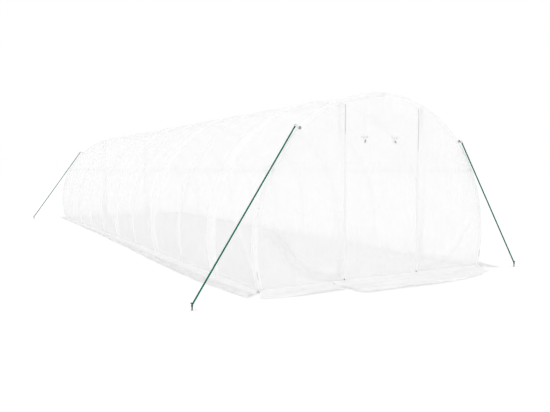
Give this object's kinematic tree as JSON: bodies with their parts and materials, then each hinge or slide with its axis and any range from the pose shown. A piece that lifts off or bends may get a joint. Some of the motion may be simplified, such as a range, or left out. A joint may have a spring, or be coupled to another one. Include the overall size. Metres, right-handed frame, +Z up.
{
  "type": "polytunnel greenhouse",
  "caption": "Walk-in polytunnel: translucent film over bent tube hoops on a base frame, zipped end doors, ground skirts, guy ropes and pegs.",
  "frame": {"origin": "middle of the tunnel's footprint, on the ground", "axes": "+Y along the tunnel away from the front door, +X to the right facing that door, +Z up"},
  "size_m": [4.648, 11.05, 2],
  "materials": {
    "galvanised_tube": "satin galvanised",
    "cover_film": "translucent reinforced film",
    "zip_tape": "woven tape with moulded teeth",
    "webbing": "woven webbing",
    "guy_rope": "laid polypropylene rope",
    "peg_steel": "dark coated steel"
  },
  "bodies": {
    "root": {"hoop_01": "galvanised_tube", "hoop_02": "galvanised_tube", "hoop_03": "galvanised_tube", "hoop_04": "galvanised_tube", "hoop_05": "galvanised_tube", "hoop_06": "galvanised_tube", "hoop_07": "galvanised_tube", "hoop_08": "galvanised_tube", "hoop_09": "galvanised_tube", "hoop_10": "galvanised_tube", "hoop_11": "galvanised_tube", "left_base_rail": "galvanised_tube", "right_base_rail": "galvanised_tube", "front_sill_rail": "galvanised_tube", "back_sill_rail": "galvanised_tube", "ridge_purlin": "galvanised_tube", "left_side_purlin": "galvanised_tube", "right_side_purlin": "galvanised_tube", "front_corner_braces": "galvanised_tube", "back_corner_braces": "galvanised_tube", "front_door_posts": "galvanised_tube", "back_door_posts": "galvanised_tube", "cover_left_side": "cover_film", "cover_left_shoulder": "cover_film", "cover_left_roof": "cover_film", "cover_right_roof": "cover_film", "cover_right_shoulder": "cover_film", "cover_right_side": "cover_film", "front_end_panel": "cover_film", "back_end_panel": "cover_film", "front_roll_up_door": "cover_film", "back_roll_up_door": "cover_film", "left_skirt": "cover_film", "right_skirt": "cover_film", "front_skirt": "cover_film", "back_skirt": "cover_film", "front_door_zips": "zip_tape", "back_door_zips": "zip_tape", "front_door_ties": "webbing", "back_door_ties": "webbing", "rope_tabs": "webbing", "guy_rope_front_left": "guy_rope", "guy_rope_front_right": "guy_rope", "guy_rope_back_left": "guy_rope", "guy_rope_back_right": "guy_rope", "ground_pegs": "peg_steel"}
  },
  "joints": []
}
